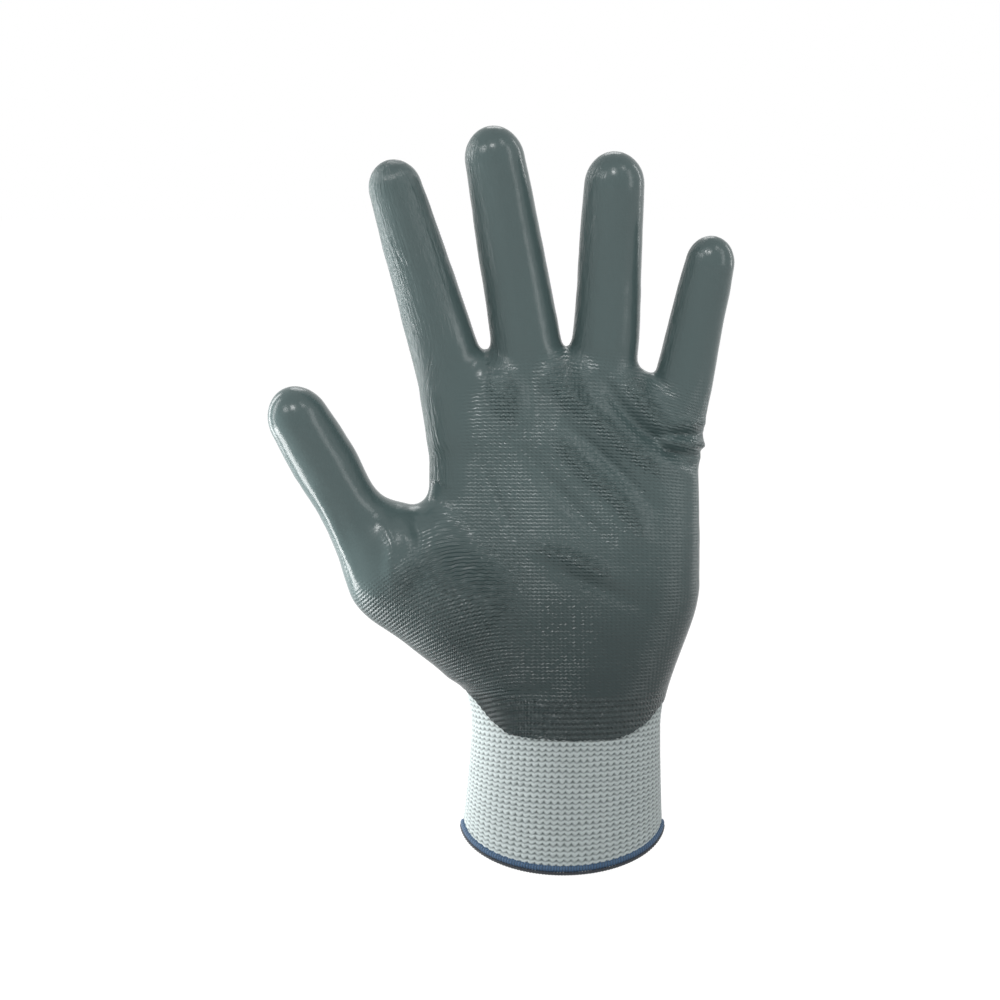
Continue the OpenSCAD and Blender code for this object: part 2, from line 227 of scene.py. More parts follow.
def makePath(name):
    # a digit's path as a table: place, across, along, half width, half depth, at even steps
    d = digits[name]
    knots = [place(f"{name}_{k}_knuckle") for k in d["knuckles"]]
    axes = [np.array(joints[f"{name}_{k}_knuckle"]["axis"]) for k in d["knuckles"]]
    end = knots[-1] + np.array(d["end"])
    along = unit(end - knots[-1])
    dome = end - along * d["half"][-1] * domeLong
    rows = []
    if name == "thumb":
        for x, y, z, lean, roll, w, t in d["ball"]:
            lean, roll = math.radians(lean), math.radians(roll)
            u = np.array([math.cos(lean), 0, math.sin(lean)])
            rows.append([x, y, z, *(u * math.cos(roll) + np.array([0, 1, 0]) * math.sin(roll)), w, t])
        half = d["half"]
    else:
        rows.append([*d["base"], 1, 0, 0, d["half"][0], d["half"][0] * stallRound])
        half = d["half"][1:]
    first = len(rows)
    for k, a, w in zip([*knots, dome], [*axes, axes[-1]], half):
        rows.append([*k, *a, w, w * stallRound])
    table, t = spline(rows, 160)
    tangent = unit(np.gradient(table[:, :3], axis=0))
    across = unit(table[:, 3:6] - tangent * np.sum(table[:, 3:6] * tangent, 1)[:, None])
    d["table"] = np.hstack([table[:, :3], across, tangent, table[:, 6:8]])
    d["root"], d["length"] = t[first], t[-1]
    d["low"], d["high"] = table[:, :3].min(0) - stallReach, table[:, :3].max(0) + stallReach


for name in order:
    makePath(name)


# a point is first matched to the ends of a digit's parts, and then moved along the digit in rounds
search = {"parts": 12, "rounds": 5}
# a point this near to the middle of a section counts as lying this share of the section's depth inside
core = {"share": 0.2, "depth": 0.8}


def digitPlace(name, p):
    # finds the section of the digit that a point lies in, and returns its distance from the stall,
    # how far past the root knuckle it is, and its offsets across and back as shares of the section
    d = digits[name]
    table, length = d["table"], d["length"]
    n = len(table) - 1
    step = n // search["parts"]
    coarse = table[::step]
    gap = ((p[:, None, :] - coarse[None, :, :3]) ** 2).sum(2)
    u = gap.argmin(1) * step / n

    def rowAt(u):
        i = np.clip((u * n).astype(int), 0, n - 1)
        f = (u * n - i)[:, None]
        return table[i] * (1 - f) + table[i + 1] * f

    for _ in range(search["rounds"]):
        row = rowAt(u)
        u = np.clip(u + ((p - row[:, :3]) * row[:, 6:9]).sum(1) / length, 0, 1)
    row = rowAt(u)
    q = p - row[:, :3]
    across, along = row[:, 3:6], row[:, 6:9]
    back = np.cross(along, across)
    w, t = row[:, 9], row[:, 10]
    a, b, h = (q * across).sum(1) / w, (q * back).sum(1) / t, (q * along).sum(1)
    l = np.where(u > 0.5, w * domeLong, w)
    h = np.where((u <= 0) | (u >= 1), h, 0)
    k0 = np.sqrt(a * a + b * b + (h / l) ** 2)
    k1 = np.sqrt((a / w) ** 2 + (b / t) ** 2 + (h / l / l) ** 2)
    distance = np.where(k0 < core["share"], -t * core["depth"], k0 * (k0 - 1) / np.maximum(k1, 1e-6))
    return distance, u * length - d["root"] + h, a, b, w, t


webs = {"thumb": 9, "index": 5, "middle": 4, "ring": 4, "little": 5}  # how far each joins smoothly


def handField(p):
    f = palmField(p)
    for name in order:
        d = digits[name]
        near = np.all((p > d["low"]) & (p < d["high"]), axis=1)
        g = np.full(len(p), 99.0)
        g[near] = digitPlace(name, p[near])[0]
        if name == "thumb":
            g += d["fade"] * ease((d["fadeFrom"] - p[:, 2]) / d["fadeOver"])  # the ball ends above the cuff
        f = smoothMin(f, g, webs[name])
    return f


def slopeOf(field, p, step=0.2):
    shifts = np.eye(3) * step
    return np.stack([(field(p + s) - field(p - s)) / (2 * step) for s in shifts], 1)


# A mesh on the hand's surface

net = {"pitch": 1.25, "low": (-102, -30, 38), "high": (60, 28, 254), "relax": 4, "ease": 0.6}


def surfaceNet(field, low, high, pitch):
    # a net of four-sided faces on the surface where field is 0: one corner in each grid cell it crosses
    axes = [np.arange(a, b + pitch, pitch) for a, b in zip(low, high)]
    grid = np.stack(np.meshgrid(*axes, indexing="ij"), -1)
    shape = grid.shape[:3]
    value = np.concatenate([field(c) for c in np.array_split(grid.reshape(-1, 3), 12)]).reshape(shape)
    inside = value < 0
    corner = [(i, j, k) for i in (0, 1) for j in (0, 1) for k in (0, 1)]
    cut = [slice(None, -1), slice(1, None)]
    held = sum(inside[cut[i], cut[j], cut[k]].astype(int) for i, j, k in corner)
    cells = np.argwhere((held > 0) & (held < 8))
    ids = -np.ones(np.array(shape) - 1, int)
    ids[tuple(cells.T)] = np.arange(len(cells))
    total, count = np.zeros((len(cells), 3)), np.zeros(len(cells))
    for a in corner:
        for axis in range(3):
            if a[axis]:
                continue
            b = tuple(c + (n == axis) for n, c in enumerate(a))
            fa, fb = value[tuple((cells + a).T)], value[tuple((cells + b).T)]
            crosses = (fa < 0) != (fb < 0)
            t = np.where(crosses, fa / np.where(crosses, fa - fb, 1), 0)
            spot = np.array(a, float) + t[:, None] * np.eye(3)[axis]
            total += np.where(crosses[:, None], spot, 0)
            count += crosses
    points = np.array(low) + (cells + total / count[:, None]) * pitch
    quads = []
    for axis in range(3):
        first = [slice(None)] * 3
        second = [slice(None)] * 3
        first[axis], second[axis] = slice(None, -1), slice(1, None)
        a, b = inside[tuple(first)], inside[tuple(second)]
        edges = np.argwhere(a != b)
        o1, o2 = [n for n in range(3) if n != axis]
        for o in (o1, o2):
            edges = edges[(edges[:, o] > 0) & (edges[:, o] < shape[o] - 1)]
        around = []
        for s, t in ((1, 1), (0, 1), (0, 0), (1, 0)):
            c = edges.copy()
            c[:, o1] -= s
            c[:, o2] -= t
            around.append(ids[tuple(c.T)])
        q = np.stack(around, 1)
        flip = a[tuple(edges.T)] == (axis == 1)
        q[flip] = q[flip][:, ::-1]
        quads.append(q)
    quads = np.concatenate(quads)
    return points, quads[(quads >= 0).all(1)]


def neighbours(tris, count):
    # each edge both ways round, and how many edges each point has
    e = np.concatenate([tris[:, [0, 1]], tris[:, [1, 2]], tris[:, [2, 0]]])
    return np.concatenate([e, e[:, ::-1]]), np.bincount(np.concatenate([e[:, 0], e[:, 1]]), minlength=count)


def average(edges, degree, values):
    # the mean of each point's neighbours
    start, end = edges.T
    total = np.stack([np.bincount(start, column[end], len(values)) for column in values.T], 1)
    return total / np.maximum(degree, 1)[:, None]


def vertexNormals(points, tris):
    # the sum of the faces' normals round each point, weighed by their areas
    a, b, c = (points[tris[:, i]] for i in range(3))
    face = np.cross(b - a, c - a)
    total = np.stack([np.bincount(tris.ravel(), np.repeat(face[:, k], 3), len(points)) for k in range(3)], 1)
    return unit(total)


def handSurface():
    # the net as triangles, evened out along the surface and drawn back onto it
    points, quads = surfaceNet(handField, net["low"], net["high"], net["pitch"])
    a, b, c, d = (points[quads[:, i]] for i in range(4))
    short = np.linalg.norm(a - c, axis=1) < np.linalg.norm(b - d, axis=1)
    q = np.where(short[:, None], quads, np.roll(quads, -1, axis=1))
    tris = np.concatenate([q[:, [0, 1, 2]], q[:, [0, 2, 3]]])
    edges, degree = neighbours(tris, len(points))
    for n in range(net["relax"] + 1):
        g = slopeOf(handField, points)
        normal = unit(g)
        if n < net["relax"]:
            move = average(edges, degree, points) - points
            move -= normal * (move * normal).sum(1)[:, None]
            points = points + net["ease"] * move
        f = handField(points)
        points = points - normal * (f / np.maximum(np.linalg.norm(g, axis=1), 0.3))[:, None]
    return points, tris


def cutAlong(data, tris, level, snap=0.1):
    # splits the triangles that the line level = 0 crosses, so that the line runs along edges
    v = np.where(np.abs(level) < snap, 0, level)
    s = np.sign(v[tris]).astype(int)
    mixed = (s.max(1) > 0) & (s.min(1) < 0)
    keep, t, s = tris[~mixed], tris[mixed], s[mixed]
    zero = (s == 0).any(1)
    lone = np.where((s > 0).sum(1) == 1, (s > 0).argmax(1), (s < 0).argmax(1))
    odd = np.where(zero, (s == 0).argmax(1), lone)
    t = np.stack([t[np.arange(len(t)), (odd + k) % 3] for k in range(3)], 1)
    pairs = np.concatenate([t[zero][:, [1, 2]], t[~zero][:, [0, 1]], t[~zero][:, [0, 2]]])
    key, back = np.unique(np.sort(pairs, 1), axis=0, return_inverse=True)
    back = back.ravel()
    f = (v[key[:, 0]] / (v[key[:, 0]] - v[key[:, 1]]))[:, None]
    fresh = data[key[:, 0]] * (1 - f) + data[key[:, 1]] * f
    new = back + len(data)
    nz, no = zero.sum(), (~zero).sum()
    m, p, q = new[:nz], new[nz:nz + no], new[nz + no:]
    a, b, c = t[zero].T
    parts = [np.stack([a, b, m], 1), np.stack([a, m, c], 1)]
    a, b, c = t[~zero].T
    parts += [np.stack([a, p, q], 1), np.stack([p, b, c], 1), np.stack([p, c, q], 1)]
    return np.concatenate([data, fresh]), np.concatenate([keep, *parts])


def sectionsOf(p):
    # for each point: its digit, how far along it, the offsets in its section, and how far it is in that digit
    best = np.full(len(p), 1e9)
    owner = np.full(len(p), -1)
    out = np.zeros((len(p), 6))
    near = np.zeros((len(p), 5))
    for n, name in enumerate(order):
        r = np.stack(digitPlace(name, p), 1)
        near[:, n] = r[:, 0]
        closer = r[:, 0] < best
        best = np.where(closer, r[:, 0], best)
        owner[closer] = n
        out[closer] = r[closer]
    return owner, out, near


# Knit coordinates

knit = {
    "wale": 1.5, "course": 1.2,  # the width and the height of a stitch
    "turn": 13.0,  # over this the thumb's courses take over from the palm's
    "heel": 59.5, "wide": 1.5,  # below the heel the courses are this much wider apart
    "arch": 0.3, "blend": 6.0,
    "joinFrom": -22, "joinOver": 26,  # where a finger's own courses begin, from its root knuckle
    "spread": 1.25,  # how much further apart than their bases the fingers' middle wales lie
}


ovalShare = 0.9  # how much of an oval's first correction to a circle's length is taken


def sideLength(a, b, w, t):
    # distance round an oval section from its middle line to a point, by way of its nearer face
    angle = np.arctan2(np.abs(b), a)  # 0 at one flank, pi at the other, the same in front and behind
    whole = math.pi * np.sqrt((w * w + t * t) / 2)
    turn = np.pi / 2 - angle
    k = (w - t) / (w + t)
    return (turn / np.pi + k * np.sin(2 * turn) / (2 * np.pi) * ovalShare) * whole


def palmCourse(p):
    # height along the palm, bent by a share of the arch of its top edge
    return p[:, 2] + knit["arch"] * (palmLevel(p[:, 0], p[:, 2]) - p[:, 2])


def knitMap(p, near):
    # wale and course of each point in mm: along x and z on the palm, round and along each stall.
    # The thumb's courses take over where they stand higher than the palm's.
    level = palmLevel(p[:, 0], p[:, 2])
    w, d = halfWidth(level), halfDepth(level)
    palmWale = sideLength((p[:, 0] - handX(level)) / w, p[:, 1] / d, w, d)
    share = np.clip(np.exp(-near / knit["blend"]), 1e-6, 1e3)
    total = np.exp(-np.clip(palmField(p), -6, 60) / knit["blend"])
    course = palmCourse(p)
    heel = knit["heel"] - (knit["heel"] - course) / knit["wide"]
    wale, course = palmWale * total, np.where(course < knit["heel"], heel, course) * total
    for n, name in enumerate(order[:4]):
        _, s, a, b, hw, hd = digitPlace(name, p)
        weight = share[:, n] * ease((s - knit["joinFrom"]) / knit["joinOver"])
        start = palmCourse(place(f"{name}_root_knuckle")[None])[0]
        wale = wale + weight * (digits[name]["table"][0, 0] * knit["spread"] + sideLength(a, b, hw, hd))
        course = course + weight * (start + s)
        total = total + weight
    wale, course = wale / total, course / total
    _, s, a, b, hw, hd = digitPlace("thumb", p)
    thumb = digits["thumb"]["course"] + s
    turned = ease(0.5 + 0.5 * (thumb - course) / knit["turn"])
    wale = mix(wale, digits["thumb"]["wale"] + sideLength(a, b, hw, hd), turned)
    return wale, -smoothMin(-course, -thumb, knit["turn"])


# Folds of the cloth

# Each fold is x and z along its line, its half width, and how far it stands out (or sinks, below 0).
folds = [
    (((13.5, 166), (19, 156), (29, 146.5), (41, 137.5), (46, 135)), 2.35, -3.18),
    (((22, 166), (27, 157), (35, 149)), 2.96, 2.11),
    (((-4, 165), (6.4, 157), (20.9, 143.5), (32, 134.5)), 2.78, 2.34),
    (((1, 151), (10.4, 143), (19.2, 134.5), (31, 122)), 2.09, -1.92),
    (((-3, 147), (6, 136.5), (18.5, 126), (27, 113)), 2.96, 2.34),
    (((-12, 141), (-5, 132), (5, 121), (15, 111)), 2.78, -1.69),
    (((-27, 137), (-22, 124), (-15, 112)), 1.57, -1.0),
    (((-12, 111), (2, 107), (18, 99)), 3.48, 1.92),
    (((-6, 104), (8, 98), (27, 90)), 2.96, -1.92),
    (((31, 150), (40, 150.5), (48, 150)), 1.13, 1.47),
    (((31, 147), (40, 147), (48, 145.8)), 1.13, -2.34),
    (((33, 144.5), (41, 143.4), (48, 142.2)), 1.39, 1.92),
    (((34, 141.5), (42, 140.6), (48, 139.6)), 1.13, -1.92),
    (((-83, 130), (-77, 119), (-73.5, 110), (-70, 101)), 2.3, 1.08),
    (((-87, 125), (-81, 113), (-77, 104)), 2.3, -0.84),
    (((-50, 122), (-47, 113), (-50, 100)), 2.78, -1.92),
    (((-60, 120), (-57, 110), (-58, 100)), 2.26, 1.09),
    (((-46, 103), (-34, 97), (-20, 89)), 8.5, 3.6),
    (((-22, 168), (-20, 161), (-18, 153)), 4.6, 3.4),
    (((0, 169), (2, 162), (5, 155)), 4.6, 3.5),
    (((-11, 173), (-10, 163), (-9, 152)), 3.4, -1.82),
]


unevenness = ((0.35, 4, 6, 0.09), (0.12, 9, 8, 0.3))  # height, seed, number of waves, fineness
foldRun = {
    "steps": 30, "smoothing": 8, "reach": 12,  # how finely and how far round its line a fold is worked out
    "start": 0.08, "blunt": 0.8, "backFrom": 4, "backOver": 8,  # how it dies out at its ends and behind
}


def foldDepth(p):
    # the nearest point of each line gives the distance across it and the share along it, where it tapers
    x, y, z = p.T
    total = np.zeros(len(p))
    for line, width, high in folds:
        line = np.array(line, float)
        t = np.linspace(0, len(line) - 1, foldRun["steps"])
        cx, cz = (np.interp(t, np.arange(len(line)), line[:, k]) for k in (0, 1))
        soft = np.array([0.25, 0.5, 0.25])
        for _ in range(foldRun["smoothing"]):
            cx[1:-1], cz[1:-1] = np.convolve(cx, soft, "valid"), np.convolve(cz, soft, "valid")
        r = foldRun["reach"]
        acrossReach = (x > cx.min() - r) & (x < cx.max() + r)
        i = np.where(acrossReach & (z > cz.min() - r) & (z < cz.max() + r) & (y < foldRun["backFrom"]))[0]
        gap = np.hypot(x[i, None] - cx, z[i, None] - cz)
        k = gap.argmin(1)
        far = gap[np.arange(len(i)), k] / width
        run = mix(foldRun["start"], 1 - foldRun["start"], k / (foldRun["steps"] - 1))
        front = ease((foldRun["backFrom"] - y[i]) / foldRun["backOver"])
        total[i] += high * np.sin(np.pi * run) ** foldRun["blunt"] * bump(far) * front
    for high, seed, count, fine in unevenness:
        total = total + high * waves(x, z, seed, count, fine)
    return total


# Where the film lies

film = {
    "thick": 0.45, "under": 0.5, "linerThick": 1.0, "linerFoot": 60.0,
    "flank": 6.5, "stallFlank": 5.2,  # how far behind the middle of the depth the film's edge lies
    "stallFrom": -14, "stallOver": 18,  # where the stall's edge takes over, from its root knuckle
    "tipCover": 17, "tipSlope": 1.6,  # how far from the tip it closes round the back, and how steeply
    "edgeWave": 1.1, "edgeRipple": 0.5, "dipRipple": 0.25,
    "insideFold": 0.6,  # the share of a fold's height that the inside of the liner follows
    "edgeTaper": 2.5, "edgeThin": 0.85,  # the film thins by this share over this distance to its edge
}
# x and z of the line at which the dip ended
dipLine = np.array([
    (-40, 64), (-33, 60), (-29, 56), (-24, 50.6), (-18.5, 46.8), (-12, 46), (-3, 45.7), (2, 45.2),
    (10, 45.4), (17.5, 45.3), (23, 46.8), (29, 50.2), (33, 54.5), (40, 60),
])


def filmReach(p, owner, local):
    # how far inside the film's edge a point is, in mm; below 0 there is no film
    x, y, z = p.T
    s, b, t = local[:, 1], local[:, 3], local[:, 5]
    length = np.array([digits[n]["length"] - digits[n]["root"] for n in order])[owner]
    onStall = ease((s - film["stallFrom"]) / film["stallOver"])
    behind = mix(y, b * t, onStall)
    wave = film["edgeWave"] * waves(z, x * 0.3, 11, 6, 0.35)
    wave = wave + film["edgeRipple"] * waves(z, x * 0.3, 12, 5, 1.1)
    edge = mix(film["flank"], film["stallFlank"], onStall) + wave
    tip = np.maximum(0, s - (length - film["tipCover"] + wave)) * film["tipSlope"]
    side = edge + tip - behind
    dip = z - np.interp(x, dipLine[:, 0], dipLine[:, 1]) + film["dipRipple"] * np.sin(x * 4.1)
    return side, dip


# Meshes and materials


def linear(code):
    c = [int(code[i:i + 2], 16) / 255 for i in (0, 2, 4)]
    return [v / 12.92 if v <= 0.04045 else ((v + 0.055) / 1.055) ** 2.4 for v in c] + [1.0]


def node(tree, kind, settings=None, inputs=None):
    # adds one node; an input is a number, a colour, another node's first output or one of its others
    made = tree.nodes.new("ShaderNode" + kind)
    for key, value in (settings or {}).items():
        setattr(made, key, value)
    for key, value in (inputs or {}).items():
        if isinstance(value, bpy.types.Node):
            value = value.outputs[0]
        if isinstance(value, bpy.types.NodeSocket):
            tree.links.new(value, made.inputs[key])
        else:
            made.inputs[key].default_value = value
    return made


def newMaterial(name):
    material = bpy.data.materials.new(name)
    material.use_nodes = True
    tree = material.node_tree
    return material, tree, tree.nodes["Principled BSDF"]


def stackBumps(tree, bumps):
    # bumps laid one on another, each given as its height, its strength and its depth in metres
    lift = None
    for height, strength, depth in bumps:
        below = {"Normal": lift} if lift else {}
        lift = node(tree, "Bump", None,
                    {"Height": height, "Strength": strength, "Distance": depth, **below})
    return lift


def dress(tree, shader, links, values, shades=None):
    # joins nodes to the shader and sets its uniform values on its own sockets; shades is a share and the
    # hex codes of the dark and the light shade that it runs between
    if shades:
        share, dark, light = shades
        between = {0: share, 6: linear(dark), 7: linear(light)}
        mixed = node(tree, "Mix", {"data_type": "RGBA"}, between)
        tree.links.new(mixed.outputs[2], shader.inputs["Base Color"])
    for key, source in links.items():
        tree.links.new(source.outputs[0], shader.inputs[key])
    for key, value in values.items():
        shader.inputs[key].default_value = value


def knitRows(tree, uv, lean):
    # one wave a course that climbs by lean towards the middle of each wale: sin(2 pi (course + lean climb))
    split = node(tree, "SeparateXYZ", None, {0: uv})
    climb = node(tree, "Math", {"operation": "PINGPONG"}, {0: split.outputs[0], 1: 0.5})
    bent = node(tree, "Math", {"operation": "MULTIPLY_ADD"}, {0: climb, 1: lean, 2: split.outputs[1]})
    turn = node(tree, "Math", {"operation": "MULTIPLY"}, {0: bent, 1: 2 * math.pi})
    return node(tree, "Math", {"operation": "SINE"}, {0: turn}), split.outputs[0]


def nitrileFilm():
    # Smooth nitrile dip, cured over the knit: a rubber skin with a satin gloss, where the rows of the
    # knit show through as fine ribs with a pip on each stitch, and which crinkles along the fingers.
    material, tree, shader = newMaterial("dippedNitrileRubber")
    uv = node(tree, "UVMap", {"uv_map": "knit"})
    ribs = node(tree, "Attribute", {"attribute_name": "ribs"}).outputs["Fac"]
    crinkle = node(tree, "Attribute", {"attribute_name": "crinkle"}).outputs["Fac"]
    spot = node(tree, "TexCoord").outputs["Object"]
    # one rib a course, lower between the stitches: the row's wave less 0.38 cos(2 pi wale)
    row, wale = knitRows(tree, uv, 0.5)
    turn = node(tree, "Math", {"operation": "MULTIPLY"}, {0: wale, 1: 2 * math.pi})
    stitch = node(tree, "Math", {"operation": "COSINE"}, {0: turn})
    both = node(tree, "Math", {"operation": "MULTIPLY_ADD"}, {0: stitch, 1: -0.38, 2: row})
    uneven = node(tree, "TexNoise", None, {"Vector": uv, "Scale": 0.9, "Detail": 2.0})
    share = node(tree, "MapRange", None, {0: uneven, 1: 0.3, 2: 0.7, 3: 0.35, 4: 1.5})
    deep = node(tree, "Math", {"operation": "MULTIPLY"}, {0: ribs, 1: share})
    relief = node(tree, "Math", {"operation": "MULTIPLY"}, {0: both, 1: deep})
    # long crinkles: noise drawn out along the finger
    drawn = node(tree, "Mapping", None, {"Vector": uv, "Scale": (1.0, 0.09, 1.0)})
    noise = node(tree, "TexNoise", None,
                 {"Vector": drawn, "Scale": 1.3, "Detail": 3.0, "Roughness": 0.6})
    fine = node(tree, "Math", {"operation": "MULTIPLY"}, {0: noise, 1: crinkle})
    # the dip's own unevenness, coarse and fine
    swell = node(tree, "TexNoise", None, {"Vector": spot, "Scale": 150.0, "Detail": 4.0})
    grain = node(tree, "TexNoise", None, {"Vector": spot, "Scale": 900.0, "Detail": 2.0})
    bumps = ((relief, 1.0, 0.0002), (fine, 1.0, 0.0005), (swell, 0.16, 0.001), (grain, 0.1, 0.0002))
    lift = stackBumps(tree, bumps)
    tone = node(tree, "TexNoise", None, {"Vector": spot, "Scale": 30.0, "Detail": 4.0})
    # the colour's share from dark to light: its tone up the hand, with painted light and sheen on the thumb
    # and the palm's side and painted shade at the heel
    paintedLightTone = node(tree, "Attribute", {"attribute_name": "toneAndPaintedLight"}).outputs["Fac"]
    mottledWithPaintedLight = node(tree, "Math", {"operation": "MULTIPLY_ADD"}, {0: tone, 1: 0.25, 2: paintedLightTone})
    rough = node(tree, "MapRange", None, {0: swell, 3: 0.17, 4: 0.27})
    dress(tree, shader, {"Roughness": rough, "Normal": lift}, {"IOR": 1.48, "Specular IOR Level": 0.4},
          (mottledWithPaintedLight, "192B2C", "586A6A"))
    return material


def nylonKnit():
    # Seamless 13-gauge nylon knit: matt white yarn in V-shaped stitches, with grey painted shade in the gaps
    # between them.
    material, tree, shader = newMaterial("whiteNylonKnit")
    uv = node(tree, "UVMap", {"uv_map": "knit"})
    row = knitRows(tree, uv, -1.0)[0]
    spot = node(tree, "TexCoord").outputs["Object"]
    fibre = node(tree, "TexNoise", None, {"Vector": spot, "Scale": 2600.0, "Detail": 2.0})
    lift = stackBumps(tree, ((row, 1.0, 0.00022), (fibre, 0.4, 0.0004)))
    # painted shade: the colour darkens into the trough between courses
    level = node(tree, "MapRange", None, {0: row, 1: -1.0, 2: 0.4})
    dress(tree, shader, {"Normal": lift}, {"Roughness": 0.85, "Sheen Weight": 0.2},
          (level, "7B8584", "D6DCDB"))
    return material


def makeMesh(name, points, faces, material, uv=None, attributes=None, normals=None):
    # faces is an array with one row a face; normals has one row a corner
    mesh = bpy.data.meshes.new(name)
    size = faces.shape[1]
    mesh.vertices.add(len(points))
    mesh.vertices.foreach_set("co", (points * metre).astype(np.float32).ravel())
    mesh.loops.add(faces.size)
    mesh.loops.foreach_set("vertex_index", faces.astype(np.int32).ravel())
    mesh.polygons.add(len(faces))
    mesh.polygons.foreach_set("loop_start", np.arange(0, faces.size, size, dtype=np.int32))
    mesh.polygons.foreach_set("use_smooth", np.ones(len(faces), bool))
    mesh.update(calc_edges=True)
    if uv is not None:
        layer = mesh.uv_layers.new(name="knit")
        layer.data.foreach_set("uv", uv[faces.ravel()].astype(np.float32).ravel())
    for key, values in (attributes or {}).items():
        mesh.attributes.new(key, "FLOAT", "POINT").data.foreach_set("value", values.astype(np.float32))
    if normals is not None:
        mesh.normals_split_custom_set(normals.astype(np.float32))
    mesh.materials.append(material)
    made = bpy.data.objects.new(name, mesh)
    bpy.context.scene.collection.objects.link(made)
    return made


def shell(name, outer, inner, normal, tris, material, uv, attributes=None):
    # a closed skin between two surfaces that share their triangles, with a wall along every open edge
    used, back = np.unique(tris, return_inverse=True)
    t = back.reshape(tris.shape)
    n = len(used)
    e = np.concatenate([t[:, [0, 1]], t[:, [1, 2]], t[:, [2, 0]]])
    key = np.sort(e, 1)
    code = key[:, 0] * n + key[:, 1]
    _, first, count = np.unique(code, return_index=True, return_counts=True)
    rim = e[first[count == 1]]
    points = np.concatenate([outer[used], inner[used]])
    a, b = rim.T
    walls = np.concatenate([np.stack([b, a, a + n], 1), np.stack([b, a + n, b + n], 1)])
    faces = np.concatenate([t, t[:, ::-1] + n, walls])
    start = points[walls[:, 0]]
    wallNormal = unit(np.cross(points[walls[:, 1]] - start, points[walls[:, 2]] - start))
    corners = np.concatenate([normal[used][t].reshape(-1, 3), -normal[used][t[:, ::-1]].reshape(-1, 3),
                              np.repeat(wallNormal, 3, axis=0)])
    both = {k: np.concatenate([v[used], v[used]]) for k, v in (attributes or {}).items()}
    return makeMesh(name, points, faces, material, np.concatenate([uv[used], uv[used]]), both, corners)


# The dipped part and its liner

points, tris = handSurface()
print("hand surface:", len(points), "points,", len(tris), "triangles")

owner, local, near = sectionsOf(points)
elsewhere = -60.0  # stands in for the distance along a digit that a point isn't on
columns = [np.where(owner == n, local[:, 1], elsewhere) for n in range(len(order))]
side, dip = filmReach(points, owner, local)
# columns 3 to 7 are the distances along the digits, 8 and 9 tell film from none, and 10 liner from none
data = np.hstack([points, np.stack([*columns, side, dip, points[:, 2] - film["linerFoot"]], 1)])
for n, name in enumerate(order):
    for level in digits[name]["cuts"]:
        data, tris = cutAlong(data, tris, data[:, 3 + n] - level)
for column in (8, 9, 10):
    data, tris = cutAlong(data, tris, data[:, column], 0.05)
points = data[:, :3]
owner, local, near = sectionsOf(points)
wale, course = knitMap(points, near)
base = unit(slopeOf(handField, points))
depth = foldDepth(points)
surface = points + base * depth[:, None]
normal = vertexNormals(surface, tris)
side, dip = data[:, 8], data[:, 9]
print("cut surface:", len(points), "points,", len(tris), "triangles")

middle = data[tris].mean(1)
inFilm = (middle[:, 8] > 0) & (middle[:, 9] > 0)
inLiner = middle[:, 10] > 0
part = np.full(len(tris), -1)
for n, name in enumerate(order):
    cuts = digits[name]["cuts"]
    for k, level in enumerate(cuts):
        part[middle[:, 3 + n] > level] = n * 4 + k

uv = np.stack([wale / knit["wale"], course / knit["course"]], 1)
look = {
    # how far below its root knuckle a stall turns smooth: on the thumb, and between two x on the fingers
    "smoothThumb": 26, "smoothX": (-34, -12), "smoothFinger": (30, 15), "smoothOver": 13,
    # the palm's side below the index finger is smooth too
    "sideX": -28, "sideOver": 9, "sideZ": 112, "sideRise": 12,
    # the stitches show most on the thumb's ball, the raised folds and the heel
    "ballX": -4, "ballOver": 26, "ballZ": 116, "ballRise": 16, "foldFrom": 0.2, "foldOver": 1.2,
    "heelZ": 60.5, "heelOver": 2.5, "smoothRibs": 0.05, "flatRibs": 0.34, "heelRibs": 3.6,
    # the film's colour runs paler up the hand and on the stalls; on the thumb and down the palm's side it is
    # paler still as painted light and sheen, and low at the heel darker as painted shade
    "darkest": 0.1, "paler": 0.75, "paleZ": 62, "paleOver": 75, "stallPale": 0.15, "thumbPaintedLight": 0.3,
    "sidePaintedSheen": 0.3, "heelPaintedShade": 0.25, "heelPaintedShadeZ": 52, "heelPaintedShadeOver": 24,
    # the crinkles lie on the fingers' thumb sides and down the palm's side
    "crinkleFrom": 0.2, "crinkleOver": 0.5, "crinkleX": -34, "crinkleReach": 8,
}


def rise(value, start, over):
    return ease((value - start) / over)


